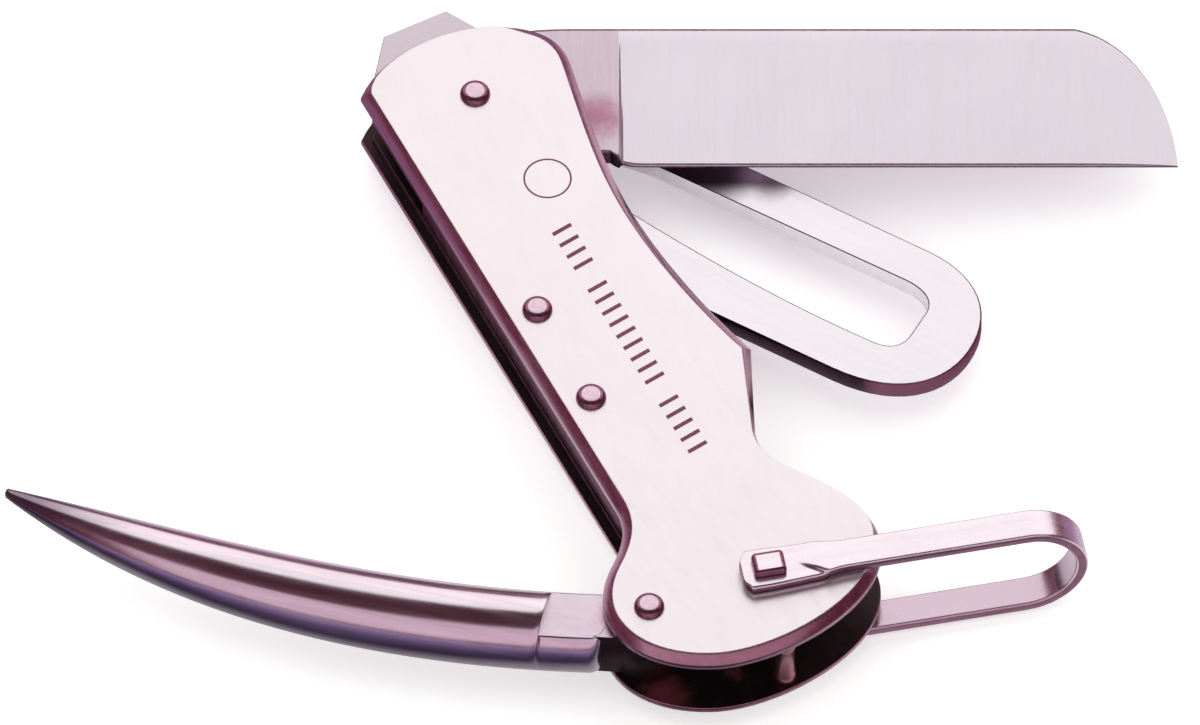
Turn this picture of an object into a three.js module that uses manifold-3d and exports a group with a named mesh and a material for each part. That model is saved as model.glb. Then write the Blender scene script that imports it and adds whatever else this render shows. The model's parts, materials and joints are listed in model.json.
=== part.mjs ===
// Rigging knife: stainless folding knife with a sheepsfoot blade, a shackle key, a bent marlinspike
// and a swinging bail. Millimetres, +Z up, front scale on top.
//
// The handle is drawn with its main pivot at the origin, its straight left edge along +Y and the
// rear scale's outer face at z = 0. The finished group is then moved so that the middle of its
// bounding box's bottom face is the origin.
import * as THREE from 'three';
import { mergeVertices } from 'three/addons/utils/BufferGeometryUtils.js';
import Module from 'manifold-3d';

const wasm = await Module();
wasm.setup();

// ---------------------------------------------------------------- driving dimensions (mm)
const LAYER = {
  rearScale: [0, 2],
  rearLiner: [2.05, 3.05],
  key: [3.15, 6.15],
  centreLiner: [6.25, 7.25],
  blade: [7.35, 9.95],
  frontLiner: [10.05, 11.15],
  frontScale: [11.2, 13.2],
};
const HANDLE_MIDDLE = 6.6;
const SCALE_BEVEL = 1.3;
const TIP_END = 15.5;

const MAIN_PIVOT = [0, 0];
const SPRING_RIVETS = [[-8.7, -35.8], [-8.8, -52]];
const SPIKE_PIVOT = [-17.4, -86.1];
const BAIL_PIVOT = [-0.6, -88.6];
const FOOT_SPACER = [-2.9, -97.7];

const BLADE_ANGLE = -27;
const KEY_ANGLE = -56.7;
const SPIKE_ANGLE = 138;
const BAIL_ANGLE = -16;

const PIVOT_SHANK = 1.2;
const PIVOT_HOLE = 1.29;
const SPIKE_HOLE = 1.47;
const SPIKE_SHANK = 1.38;
const RIVET_HEAD = { radius: 2.05, height: 0.9 };

const BLADE = {
  reach: 95.5,
  spine: 13.2,
  edge: -8.9,
  heel: 18.4,
  ricasso: 19.5,
  dropFrom: 81.6,
  grind: 0.35,
};
const KEY = { reach: 76.9, upper: 12.2, lower: -11.3 };
const SPIKE = { reach: 90, radius: 5.4, sag: 6, root: 5.3, shoulder: 13.7, tangHalf: 4.05, tip: 0.6 };
const BAIL = { reach: 43.5, width: 4.5, boss: 3.2, thickness: 1.6, outer: 8.35 };
const BAIL_RIVET = { length: 4.4, width: 3.6, height: 1.2 };

// ---------------------------------------------------------------- materials
const steel = (color, roughness) => new THREE.MeshStandardMaterial({ color, roughness, metalness: 0.9 });
const MATERIAL = {
  scale: () => steel(0xe9e2e8, 0.35),
  liner: () => steel(0xb9a9b8, 0.4),
  spring: () => steel(0x9a8598, 0.45),
  blade: () => steel(0xddd0dc, 0.3),
  key: () => steel(0xc9bccb, 0.35),
  spike: () => steel(0xb49ab4, 0.25),
  bail: () => steel(0xc4b0c2, 0.3),
  rivet: () => steel(0xc0a6ba, 0.3),
};

// ---------------------------------------------------------------- solids
function toSolid(geometry) {
  const bare = geometry.clone();
  bare.deleteAttribute('normal');
  bare.deleteAttribute('uv');
  const welded = mergeVertices(bare, 1e-5);
  return new wasm.Manifold(new wasm.Mesh({
    numProp: 3,
    vertProperties: new Float32Array(welded.attributes.position.array),
    triVerts: new Uint32Array(welded.index.array),
  }));
}

function toGeometry(solid) {
  const mesh = solid.getMesh();
  const geometry = new THREE.BufferGeometry();
  geometry.setAttribute('position', new THREE.BufferAttribute(new Float32Array(mesh.vertProperties), 3));
  geometry.setIndex(new THREE.BufferAttribute(new Uint32Array(mesh.triVerts), 1));
  return geometry;
}

/** A flat plate of the given outline from z0 to z1. */
function plate(shape, [z0, z1], curveSegments = 8) {
  const geometry = new THREE.ExtrudeGeometry(shape, { depth: z1 - z0, bevelEnabled: false, curveSegments });
  geometry.translate(0, 0, z0);
  return toSolid(geometry);
}

/** An upright round bar. */
function bar([x, y], radius, [z0, z1], segments = 24) {
  const geometry = new THREE.CylinderGeometry(radius, radius, z1 - z0, segments);
  geometry.rotateX(Math.PI / 2);
  geometry.translate(x, y, (z0 + z1) / 2);
  return toSolid(geometry);
}

/** A box given by its lower and upper corners. */
function block([x0, y0, z0], [x1, y1, z1]) {
  const geometry = new THREE.BoxGeometry(x1 - x0, y1 - y0, z1 - z0);
  geometry.translate((x0 + x1) / 2, (y0 + y1) / 2, (z0 + z1) / 2);
  return toSolid(geometry);
}

const THROUGH = [-5, 20];

function drill(solid, centres, radius) {
  let result = solid;
  for (const centre of centres) {
    result = result.subtract(bar(centre, radius, THROUGH));
  }
  return result;
}

// ---------------------------------------------------------------- handle outlines
/** The scale's outline: straight left edge, round foot, waisted right side and domed top. */
function scaleOutline() {
  const s = new THREE.Shape();
  s.moveTo(-13.8, 7.2);
  s.lineTo(-13.8, -68.8);
  s.bezierCurveTo(-13.8, -73.2, -16.2, -75.3, -18.8, -77.5);
  s.bezierCurveTo(-21.4, -79.7, -23.2, -82.6, -23.1, -86.2);
  s.bezierCurveTo(-22.9, -91.6, -18.6, -96, -13, -98.3);
  s.bezierCurveTo(-6.4, -100.8, 3.2, -100, 9.2, -96.9);
  s.bezierCurveTo(13.6, -94.6, 16.3, -91, 16, -86.4);
  s.bezierCurveTo(15.7, -82.2, 13.2, -78.3, 10.6, -74.8);
  s.bezierCurveTo(8.6, -72.2, 7.6, -69.6, 8.6, -66.6);
  s.lineTo(14.4, -54);
  s.bezierCurveTo(12.2, -46.2, 10.4, -36, 10.4, -26.5);
  s.bezierCurveTo(10.4, -17.5, 12.6, -9, 14.2, -0.6);
  s.bezierCurveTo(15.2, 4.6, 11.6, 7.6, 7.6, 9.6);
  s.bezierCurveTo(1.4, 12.5, -8, 12.6, -13.8, 7.2);
  return s;
}

/** The liners stop above the foot and stand back a little inside the scales' outline. */
function linerOutline() {
  const s = new THREE.Shape();
  s.moveTo(-12.5, 6.4);
  s.lineTo(-12.5, -68.6);
  s.bezierCurveTo(-12, -72, -10.6, -73.6, -8, -74.4);
  s.lineTo(6.2, -74.4);
  s.bezierCurveTo(6.4, -71.5, 6.6, -69.4, 7.4, -67.2);
  s.lineTo(13, -54.4);
  s.bezierCurveTo(11, -46.5, 9.1, -36, 9.1, -26.5);
  s.bezierCurveTo(9.1, -17.5, 11.3, -9, 12.9, -0.4);
  s.bezierCurveTo(13.8, 3.9, 10.6, 6.6, 7, 8.4);
  s.bezierCurveTo(1.2, 11.2, -7.4, 11.3, -12.5, 6.4);
  return s;
}

/** The front liner runs on past the top of the scale as a flat screwdriver tip. */
function screwdriverOutline() {
  const s = new THREE.Shape();
  s.moveTo(-12.2, 0);
  s.lineTo(11, 0);
  s.lineTo(8, 7);
  s.lineTo(3.4, TIP_END);
  s.lineTo(-6.1, TIP_END);
  s.lineTo(-12, 7.8);
  return s;
}

// ---------------------------------------------------------------- handle
/** A scale blank with a bevel round its outer face; sign +1 is the front scale, -1 the rear one. */
function scaleBlank([z0, z1], sign) {
  const thickness = z1 - z0;
  const geometry = new THREE.ExtrudeGeometry(scaleOutline(), {
    depth: 4,
    bevelEnabled: true,
    bevelThickness: SCALE_BEVEL,
    bevelSize: SCALE_BEVEL,
    bevelOffset: -SCALE_BEVEL,
    bevelSegments: 1,
    curveSegments: 7,
  });
  if (sign > 0) {
    geometry.translate(0, 0, z1 - SCALE_BEVEL - 4);
  } else {
    geometry.translate(0, 0, z0 + SCALE_BEVEL);
  }
  return toSolid(geometry).intersect(block([-60, -140, z0], [60, 40, z0 + thickness]));
}

function scale(range, sign) {
  const drilled = drill(scaleBlank(range, sign), [MAIN_PIVOT, BAIL_PIVOT, ...SPRING_RIVETS], PIVOT_HOLE);
  return drill(drilled, [SPIKE_PIVOT], SPIKE_HOLE);
}

function liner(range) {
  return drill(plate(linerOutline(), range, 6), [MAIN_PIVOT, ...SPRING_RIVETS], PIVOT_HOLE);
}

function frontLiner(range) {
  const blank = plate(linerOutline(), range, 6).add(plate(screwdriverOutline(), range));
  return drill(blank, [MAIN_PIVOT, ...SPRING_RIVETS], PIVOT_HOLE);
}

/** A back spring: slim arm beside the pivot, wider body held by the two spring rivets. */
function springSolid(range) {
  const s = new THREE.Shape();
  s.moveTo(-12.3, -8.4);
  s.lineTo(-12.3, -67.2);
  s.quadraticCurveTo(-11.6, -71, -9, -72.4);
  s.lineTo(-6.4, -67);
  s.lineTo(-6.3, -50);
  s.lineTo(-6.9, -34);
  s.lineTo(-8, -24);
  s.lineTo(-8.7, -9.4);
  s.quadraticCurveTo(-10, -7.8, -12.3, -8.4);
  return drill(plate(s, range, 4), SPRING_RIVETS, PIVOT_HOLE);
}

/** A rivet with a low domed head beyond each scale. */
function domedRivet([x, y], shank, head) {
  const low = LAYER.rearScale[0];
  const high = LAYER.frontScale[1];
  const profile = [new THREE.Vector2(0, low - 0.05 - head.height)];
  const steps = 4;
  for (let i = 1; i <= steps; i++) {
    const a = (i / steps) * Math.PI / 2;
    profile.push(new THREE.Vector2(head.radius * Math.sin(a), low - 0.05 - head.height * Math.cos(a)));
  }
  profile.push(new THREE.Vector2(shank, low - 0.05));
  profile.push(new THREE.Vector2(shank, high + 0.05));
  for (let i = 0; i <= steps; i++) {
    const a = (i / steps) * Math.PI / 2;
    profile.push(new THREE.Vector2(head.radius * Math.cos(a), high + 0.05 + head.height * Math.sin(a)));
  }
  profile[profile.length - 1].x = 0;
  const geometry = new THREE.LatheGeometry(profile, 20);
  geometry.rotateX(Math.PI / 2);
  geometry.translate(x, y, 0);
  return outward(toSolid(geometry), geometry);
}

/** Turns a lathe's faces outward if its profile ran the other way. */
function outward(solid, geometry) {
  if (solid.volume() > 0) {
    return solid;
  }
  const flipped = geometry.clone();
  const index = flipped.index.array;
  for (let i = 0; i < index.length; i += 3) {
    [index[i], index[i + 1]] = [index[i + 1], index[i]];
  }
  return toSolid(flipped);
}

function ring([x, y], inner, outer, range) {
  return bar([x, y], outer, range).subtract(bar([x, y], inner, THROUGH));
}

/** A short rivet with a rounded-square head that holds one bail arm to its scale. */
function bailRivet(sign) {
  const arm = sign > 0 ? BAIL.outer + HANDLE_MIDDLE : HANDLE_MIDDLE - BAIL.outer;
  const face = arm + sign * 0.05;
  const top = face + sign * BAIL_RIVET.height;
  const inside = sign > 0 ? LAYER.frontScale[0] + 0.1 : LAYER.rearScale[1] - 0.1;
  const s = new THREE.Shape();
  const [a, b, r] = [BAIL_RIVET.length / 2, BAIL_RIVET.width / 2, 0.9];
  s.absarc(a - r, b - r, r, 0, Math.PI / 2);
  s.absarc(r - a, b - r, r, Math.PI / 2, Math.PI);
  s.absarc(r - a, r - b, r, Math.PI, 1.5 * Math.PI);
  s.absarc(a - r, r - b, r, 1.5 * Math.PI, 2 * Math.PI);
  const head = plate(s, [Math.min(face, top), Math.max(face, top)], 4).rotate([0, 0, BAIL_ANGLE]);
  const shank = bar([0, 0], PIVOT_SHANK, [Math.min(inside, face), Math.max(inside, face)]);
  const inHead = top - sign * 0.2;
  const overlap = bar([0, 0], PIVOT_SHANK, [Math.min(face, inHead), Math.max(face, inHead)]);
  return head.add(shank).add(overlap).translate([...BAIL_PIVOT, 0]);
}

// ---------------------------------------------------------------- blade, key
/** Sheepsfoot blade pointing along +X, pivot at the origin, cutting edge on -Y. */
function bladeSolid([z0, z1]) {
  const { reach, spine, edge, heel, dropFrom } = BLADE;
  const s = new THREE.Shape();
  s.moveTo(2, 12.4);
  s.bezierCurveTo(-2, 10.5, -5.2, 8.4, -6.4, 4);
  s.absarc(0, 0, 7.5, 2.583, 4.4);
  s.lineTo(0, -7.4);
  s.lineTo(heel, -7.4);
  s.bezierCurveTo(heel + 1.7, edge, heel + 3.3, edge, heel + 5, edge);
  s.lineTo(reach, edge);
  s.bezierCurveTo(reach - 0.6, edge + 9, reach - 5.2, spine - 2.2, dropFrom, spine);
  s.lineTo(14, spine);
  s.quadraticCurveTo(7, spine, 2, 12.4);
  const blank = drill(plate(s, [z0, z1], 10), [MAIN_PIVOT], PIVOT_HOLE);
  return grindEdge(grindEdge(blank, z1, 1), z0, -1);
}

/** Removes a wedge from one flat of the blade, running from near the spine down to the edge. */
function grindEdge(blank, face, sign) {
  const { reach, spine, edge, ricasso, grind } = BLADE;
  const middle = (LAYER.blade[0] + LAYER.blade[1]) / 2;
  const s = new THREE.Shape();
  s.moveTo(spine - 3, face);
  s.lineTo(edge - 1, middle + sign * grind * 0.4);
  s.lineTo(edge - 1, face + sign * 2);
  s.lineTo(spine - 3, face + sign * 2);
  const wedge = new THREE.ExtrudeGeometry(s, { depth: reach, bevelEnabled: false });
  wedge.applyMatrix4(new THREE.Matrix4().set(0, 0, 1, ricasso, 1, 0, 0, 0, 0, 1, 0, 0, 0, 0, 0, 1));
  return blank.subtract(toSolid(wedge));
}

/** Shackle key pointing along +X: a flat loop with a slot that widens outwards. */
function keySolid(range) {
  const { reach, upper, lower } = KEY;
  const s = new THREE.Shape();
  s.moveTo(2, 8.6);
  s.quadraticCurveTo(-3, 8.6, -5.6, 4.2);
  s.absarc(0, 0, 7, 2.498, 4.55);
  s.quadraticCurveTo(6, -8.8, 14, -9.4);
  s.quadraticCurveTo(26, -10.4, 38, lower);
  s.lineTo(62, lower);
  s.bezierCurveTo(72, lower, reach, -6, reach, 0.5);
  s.bezierCurveTo(reach, 7.5, 72, upper, 64, upper);
  s.lineTo(34, upper);
  s.bezierCurveTo(22, upper, 10, 9.6, 2, 8.6);
  const slot = new THREE.Path();
  slot.moveTo(15.5, -1.1);
  slot.bezierCurveTo(12.8, -0.4, 13, 4.4, 15.8, 4.9);
  slot.lineTo(24, 6.1);
  slot.lineTo(63.5, 6.3);
  slot.bezierCurveTo(66.8, 6.3, 68.6, 5, 68.6, 2.9);
  slot.lineTo(68.6, -1);
  slot.bezierCurveTo(68.6, -3.6, 67, -4.7, 64, -4.6);
  slot.bezierCurveTo(52, -4.9, 38, -3.9, 24, -2);
  slot.lineTo(15.5, -1.1);
  s.holes.push(slot);
  return drill(plate(s, range, 7), [MAIN_PIVOT], PIVOT_HOLE);
}

// ---------------------------------------------------------------- marlinspike
/** Distance of the spike's centreline from its chord. */
function spikeSag(x) {
  const t = THREE.MathUtils.clamp(x / SPIKE.reach, 0, 1);
  return 4 * SPIKE.sag * t * (1 - t);
}

function spikeRadius(x) {
  const t = THREE.MathUtils.clamp((x - SPIKE.shoulder) / (SPIKE.reach - SPIKE.shoulder), 0, 1);
  return SPIKE.tip + (SPIKE.radius - SPIKE.tip) * (1 - Math.pow(t, 3.5));
}

/** Bent tapering round bar along +X, pivot at the origin, hollow side on -Y, root milled flat. */
function spikeSolid() {
  const profile = [
    new THREE.Vector2(0, SPIKE.root),
    new THREE.Vector2(SPIKE.radius - 1.2, SPIKE.root),
    new THREE.Vector2(SPIKE.radius - 0.3, SPIKE.root + 0.5),
    new THREE.Vector2(SPIKE.radius, SPIKE.root + 1.5),
  ];
  const steps = 16;
  for (let i = 0; i <= steps; i++) {
    const x = THREE.MathUtils.lerp(SPIKE.shoulder, SPIKE.reach, i / steps);
    profile.push(new THREE.Vector2(spikeRadius(x), x));
  }
  profile.push(new THREE.Vector2(0, SPIKE.reach));
  const rod = new THREE.LatheGeometry(profile, 24);
  rod.rotateZ(-Math.PI / 2);
  const position = rod.attributes.position;
  for (let i = 0; i < position.count; i++) {
    position.setY(i, position.getY(i) + spikeSag(position.getX(i)));
  }
  const body = outward(toSolid(rod), rod);
  const half = SPIKE.tangHalf;
  const inside = SPIKE.root + 3.2;
  const above = block([-20, -30, half], [SPIKE.shoulder, 30, 12]);
  const below = block([-20, -30, -12], [SPIKE.shoulder, 30, -half]);
  const s = new THREE.Shape();
  s.absarc(0, 0, 5, 1.05, 5.24);
  s.lineTo(inside, spikeSag(inside) - 3.4);
  s.lineTo(inside, spikeSag(inside) + 3.4);
  const tang = plate(s, [-half, half], 10);
  const whole = body.subtract(above).subtract(below).add(tang);
  return drill(whole, [[0, 0]], SPIKE_HOLE).translate([0, 0, HANDLE_MIDDLE]);
}

// ---------------------------------------------------------------- bail
/** Flat strip bent round the handle's thickness; arms along +X, pivot at the origin. */
function bailSolid() {
  const { reach, width, boss, thickness, outer } = BAIL;
  const crown = reach - outer;
  const side = new THREE.Shape();
  side.moveTo(-boss - 1, -outer);
  side.lineTo(crown, -outer);
  side.absarc(crown, 0, outer, -Math.PI / 2, Math.PI / 2);
  side.lineTo(-boss - 1, outer);
  side.lineTo(-boss - 1, outer - thickness);
  side.lineTo(crown, outer - thickness);
  side.absarc(crown, 0, outer - thickness, Math.PI / 2, -Math.PI / 2, true);
  side.lineTo(-boss - 1, thickness - outer);
  const strip = new THREE.ExtrudeGeometry(side, { depth: 12, bevelEnabled: false, curveSegments: 9 });
  strip.rotateX(Math.PI / 2);
  strip.translate(0, 6, HANDLE_MIDDLE);
  const plan = new THREE.Shape();
  plan.moveTo(6, boss - 0.4);
  plan.quadraticCurveTo(8, width / 2, 10, width / 2);
  plan.lineTo(reach + 1, width / 2);
  plan.lineTo(reach + 1, -width / 2);
  plan.lineTo(10, -width / 2);
  plan.quadraticCurveTo(8, -width / 2, 6, 0.4 - boss);
  plan.lineTo(0, -boss);
  plan.quadraticCurveTo(-3.2, -boss, -3.8, -1.2);
  plan.lineTo(-3.8, 1.2);
  plan.quadraticCurveTo(-3.2, boss, 0, boss);
  const outline = plate(plan, [-4, 18], 4);
  return drill(toSolid(strip).intersect(outline), [[0, 0]], PIVOT_HOLE);
}

// ---------------------------------------------------------------- assembly
const group = new THREE.Group();
group.name = 'rigging_knife';
const frame = new THREE.Group();
frame.name = 'handle_frame';
group.add(frame);

function place(name, solid, material, at = [0, 0], degrees = 0) {
  const mesh = new THREE.Mesh(toGeometry(solid), material());
  mesh.name = name;
  mesh.position.set(at[0], at[1], 0);
  mesh.rotation.z = THREE.MathUtils.degToRad(degrees);
  frame.add(mesh);
}

place('front_scale', scale(LAYER.frontScale, 1), MATERIAL.scale);
place('rear_scale', scale(LAYER.rearScale, -1), MATERIAL.scale);
place('front_liner', frontLiner(LAYER.frontLiner), MATERIAL.liner);
place('centre_liner', liner(LAYER.centreLiner), MATERIAL.liner);
place('rear_liner', liner(LAYER.rearLiner), MATERIAL.liner);
place('blade_spring', springSolid(LAYER.blade), MATERIAL.spring);
place('key_spring', springSolid(LAYER.key), MATERIAL.spring);
place('main_pivot_rivet', domedRivet(MAIN_PIVOT, PIVOT_SHANK, RIVET_HEAD), MATERIAL.rivet);
place('spring_rivet_upper', domedRivet(SPRING_RIVETS[0], PIVOT_SHANK, RIVET_HEAD), MATERIAL.rivet);
place('spring_rivet_lower', domedRivet(SPRING_RIVETS[1], PIVOT_SHANK, RIVET_HEAD), MATERIAL.rivet);
place('spike_pivot_rivet', domedRivet(SPIKE_PIVOT, SPIKE_SHANK, RIVET_HEAD), MATERIAL.rivet);
place('spike_washer_front', ring(SPIKE_PIVOT, SPIKE_HOLE, 4.6, [10.72, 11.12]), MATERIAL.liner);
place('spike_washer_rear', ring(SPIKE_PIVOT, SPIKE_HOLE, 4.6, [2.08, 2.48]), MATERIAL.liner);
place('foot_spacer', bar(FOOT_SPACER, 1.6, [2.05, 11.15]), MATERIAL.rivet);
place('bail_rivet_front', bailRivet(1), MATERIAL.rivet);
place('bail_rivet_rear', bailRivet(-1), MATERIAL.rivet);
place('blade', bladeSolid(LAYER.blade), MATERIAL.blade, MAIN_PIVOT, BLADE_ANGLE);
place('shackle_key', keySolid(LAYER.key), MATERIAL.key, MAIN_PIVOT, KEY_ANGLE);
place('marlinspike', spikeSolid(), MATERIAL.spike, SPIKE_PIVOT, SPIKE_ANGLE);
place('bail', bailSolid(), MATERIAL.bail, BAIL_PIVOT, BAIL_ANGLE);

const bounds = new THREE.Box3().setFromObject(group, true);
frame.position.set(
  -(bounds.min.x + bounds.max.x) / 2,
  -(bounds.min.y + bounds.max.y) / 2,
  -bounds.min.z,
);

export default group;
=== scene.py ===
"""Rigging knife: high-resolution pieces, steel materials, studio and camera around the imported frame.

Outlines are in millimetres in the knife's own drawing frame: main pivot at the origin, handle along
-Y, rear scale's outer face at z = 0. Each tool is drawn along +X in its own frame, pivot at the
origin, and is then placed at its hinge.
"""
import json
import math

import bmesh
import bpy
from mathutils import Matrix, Vector
from mathutils.geometry import tessellate_polygon


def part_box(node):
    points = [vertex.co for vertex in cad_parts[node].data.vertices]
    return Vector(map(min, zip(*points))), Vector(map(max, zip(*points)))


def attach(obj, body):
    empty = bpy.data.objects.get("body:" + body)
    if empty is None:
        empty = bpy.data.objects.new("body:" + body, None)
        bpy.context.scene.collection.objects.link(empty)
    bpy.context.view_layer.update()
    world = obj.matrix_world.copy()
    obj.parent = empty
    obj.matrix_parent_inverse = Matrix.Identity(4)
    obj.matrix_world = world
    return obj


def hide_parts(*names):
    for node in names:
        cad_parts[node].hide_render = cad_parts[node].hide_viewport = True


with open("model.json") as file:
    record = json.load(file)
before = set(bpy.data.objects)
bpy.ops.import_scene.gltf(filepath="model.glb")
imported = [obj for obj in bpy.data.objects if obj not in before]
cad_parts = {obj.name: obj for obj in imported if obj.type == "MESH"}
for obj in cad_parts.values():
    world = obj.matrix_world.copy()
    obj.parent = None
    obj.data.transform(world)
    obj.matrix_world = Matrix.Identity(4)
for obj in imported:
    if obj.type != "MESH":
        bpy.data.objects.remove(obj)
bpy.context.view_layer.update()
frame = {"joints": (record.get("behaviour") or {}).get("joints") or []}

MM = 0.001
JOINTS = {joint["name"]: joint for joint in frame["joints"]}
MAIN = Vector(JOINTS["blade_hinge"]["pos_m"])
BASE_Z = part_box("rear_scale")[0].z
# The drawing frame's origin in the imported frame.
SHIFT = Vector((MAIN.x, MAIN.y, BASE_Z))

# Lowest and highest z of each layer of the handle, from the rear.
LAYER = {
    "rear_scale": (0.0, 2.0),
    "rear_liner": (2.05, 3.05),
    "key": (3.15, 6.15),
    "centre_liner": (6.25, 7.25),
    "blade": (7.35, 9.95),
    "front_liner": (10.05, 11.15),
    "front_scale": (11.2, 13.2),
}
MIDDLE = 6.6
TIP_END = 15.5
SPRING_RIVETS = ((-8.7, -35.8), (-8.8, -52.0))
SPIKE_PIVOT = (-17.4, -86.1)
BAIL_PIVOT = (-0.6, -88.6)
FOOT_SPACER = (-2.9, -97.7)
PIVOT_SHANK = 1.2
SPIKE_SHANK = 1.38
# The strip's outer face is BAIL_OUTER from the handle's middle plane.
BAIL_REACH, BAIL_OUTER, BAIL_THICK, BAIL_HALF_WIDTH = 43.5, 8.35, 1.6, 2.25
# Degrees from +X at which each moving piece stands at rest.
BLADE_ANGLE = -27.0
KEY_ANGLE = -56.7
SPIKE_ANGLE = 138.0
BAIL_ANGLE = -16.0
TURN = {"blade": BLADE_ANGLE, "key": KEY_ANGLE, "spike": SPIKE_ANGLE, "bail": BAIL_ANGLE}


# ---------------------------------------------------------------- outlines
def clamp(value, low=0.0, high=1.0):
    return max(low, min(high, value))


def rise(low, high, value):
    """0 up to low, 1 from high on, and a smooth rise between them."""
    t = clamp((value - low) / (high - low))
    return t * t * (3 - 2 * t)


def arc(cx, cy, radius, start, end, steps):
    """Points on an arc; angles in degrees."""
    points = []
    for i in range(steps + 1):
        a = math.radians(start + (end - start) * i / steps)
        points.append((cx + radius * math.cos(a), cy + radius * math.sin(a)))
    return points


def circle(cx, cy, radius, steps):
    return arc(cx, cy, radius, 0, 360, steps)[:-1]


def trace(start, *segments, steps=14):
    """A closed outline from a start point and segments: 2 numbers a line, 4 a quadratic, 6 a cubic."""
    points = [start]
    for segment in segments:
        x0, y0 = points[-1]
        if len(segment) == 2:
            points.append(segment)
            continue
        for i in range(1, steps + 1):
            t = i / steps
            s = 1 - t
            if len(segment) == 4:
                x1, y1, x2, y2 = segment
                points.append((s * s * x0 + 2 * s * t * x1 + t * t * x2,
                               s * s * y0 + 2 * s * t * y1 + t * t * y2))
            else:
                x1, y1, x2, y2, x3, y3 = segment
                a, b, c, d = s ** 3, 3 * s * s * t, 3 * s * t * t, t ** 3
                points.append((a * x0 + b * x1 + c * x2 + d * x3,
                               a * y0 + b * y1 + c * y2 + d * y3))
    return tidy(points)


def tidy(points):
    """Drops repeated points, and the last one where it closes on the first."""
    kept = []
    for p in points:
        if not kept or math.dist(p, kept[-1]) > 1e-4:
            kept.append(p)
    if math.dist(kept[0], kept[-1]) < 1e-4:
        kept.pop()
    return kept


def area(loop):
    """Signed area: positive for an anticlockwise loop."""
    total = 0.0
    for (x0, y0), (x1, y1) in zip(loop, loop[1:] + loop[:1]):
        total += x0 * y1 - x1 * y0
    return total / 2


def turned(loop, anticlockwise):
    return loop if (area(loop) > 0) == anticlockwise else loop[::-1]


def inset(loop, distance, share=None):
    """The loop moved to its left by distance, mitred at corners; share(x, y) varies it along the loop."""
    result = []
    count = len(loop)
    for i, (x, y) in enumerate(loop):
        ax, ay = loop[i - 1]
        bx, by = loop[(i + 1) % count]
        n0 = Vector((-(y - ay), x - ax)).normalized()
        n1 = Vector((-(by - y), bx - x)).normalized()
        scale = distance / max(0.35, 1 + n0.dot(n1))
        if share:
            scale *= share(x, y)
        result.append((x + (n0.x + n1.x) * scale, y + (n0.y + n1.y) * scale))
    return result


def scale_outline():
    return trace(
        (-13.8, 7.2),
        (-13.8, -68.8),
        (-13.8, -73.2, -16.2, -75.3, -18.8, -77.5),
        (-21.4, -79.7, -23.2, -82.6, -23.1, -86.2),
        (-22.9, -91.6, -18.6, -96, -13, -98.3),
        (-6.4, -100.8, 3.2, -100, 9.2, -96.9),
        (13.6, -94.6, 16.3, -91, 16, -86.4),
        (15.7, -82.2, 13.2, -78.3, 10.6, -74.8),
        (8.6, -72.2, 7.6, -69.6, 8.6, -66.6),
        (14.4, -54),
        (12.2, -46.2, 10.4, -36, 10.4, -26.5),
        (10.4, -17.5, 12.6, -9, 14.2, -0.6),
        (15.2, 4.6, 11.6, 7.6, 7.6, 9.6),
        (1.4, 12.5, -8, 12.6, -13.8, 7.2),
    )


LINER_START = (-12.5, 6.4)
LINER_SIDES = (
    (-12.5, -68.6),
    (-12, -72, -10.6, -73.6, -8, -74.4),
    (6.2, -74.4),
    (6.4, -71.5, 6.6, -69.4, 7.4, -67.2),
    (13, -54.4),
    (11, -46.5, 9.1, -36, 9.1, -26.5),
    (9.1, -17.5, 11.3, -9, 12.9, -0.4),
)


def liner_outline():
    return trace(LINER_START, *LINER_SIDES, (13.8, 3.9, 10.6, 6.6, 7, 8.4),
                 (1.2, 11.2, -7.4, 11.3, -12.5, 6.4))


def front_liner_outline():
    """The same liner with its screwdriver tip standing out past the top of the scale."""
    return trace(LINER_START, *LINER_SIDES, (13.8, 3.9, 10.6, 5.4, 8, 7), (3.4, TIP_END),
                 (-6.1, TIP_END), (-12, 7.8))


def spring_outline():
    return trace(
        (-12.3, -8.4),
        (-12.3, -67.2),
        (-11.6, -71, -9, -72.4),
        (-6.4, -67),
        (-6.3, -50),
        (-6.9, -34),
        (-8, -24),
        (-8.7, -9.4),
        (-10, -7.8, -12.3, -8.4),
    )


def key_outline():
    """The loop plate round its tang, which is an arc about the pivot."""
    points = trace((2, 8.6), (-3, 8.6, -5.6, 4.2))
    points += arc(0, 0, 7, 143.1, 260.7, 24)
    points += trace(points[-1], (6, -8.8, 14, -9.4), (26, -10.4, 38, -11.3), (62, -11.3),
                    (72, -11.3, 76.9, -6, 76.9, 0.5), (76.9, 7.5, 72, 12.2, 64, 12.2), (34, 12.2),
                    (22, 12.2, 10, 9.6, 2, 8.6))[1:]
    return tidy(points)


def key_slot():
    return trace(
        (15.5, -1.1),
        (12.8, -0.4, 13.0, 4.4, 15.8, 4.9),
        (24, 6.1),
        (63.5, 6.3),
        (66.8, 6.3, 68.6, 5.0, 68.6, 2.9),
        (68.6, -1),
        (68.6, -3.6, 67, -4.7, 64, -4.6),
        (52, -4.9, 38, -3.9, 24, -2.0),
        (15.5, -1.1),
    )


def rounded_box(half_x, half_y, radius, steps=8):
    points = []
    for sx, sy, start in ((1, 1, 0), (-1, 1, 90), (-1, -1, 180), (1, -1, 270)):
        points += arc(sx * (half_x - radius), sy * (half_y - radius), radius, start, start + 90, steps)
    return tidy(points)


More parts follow.
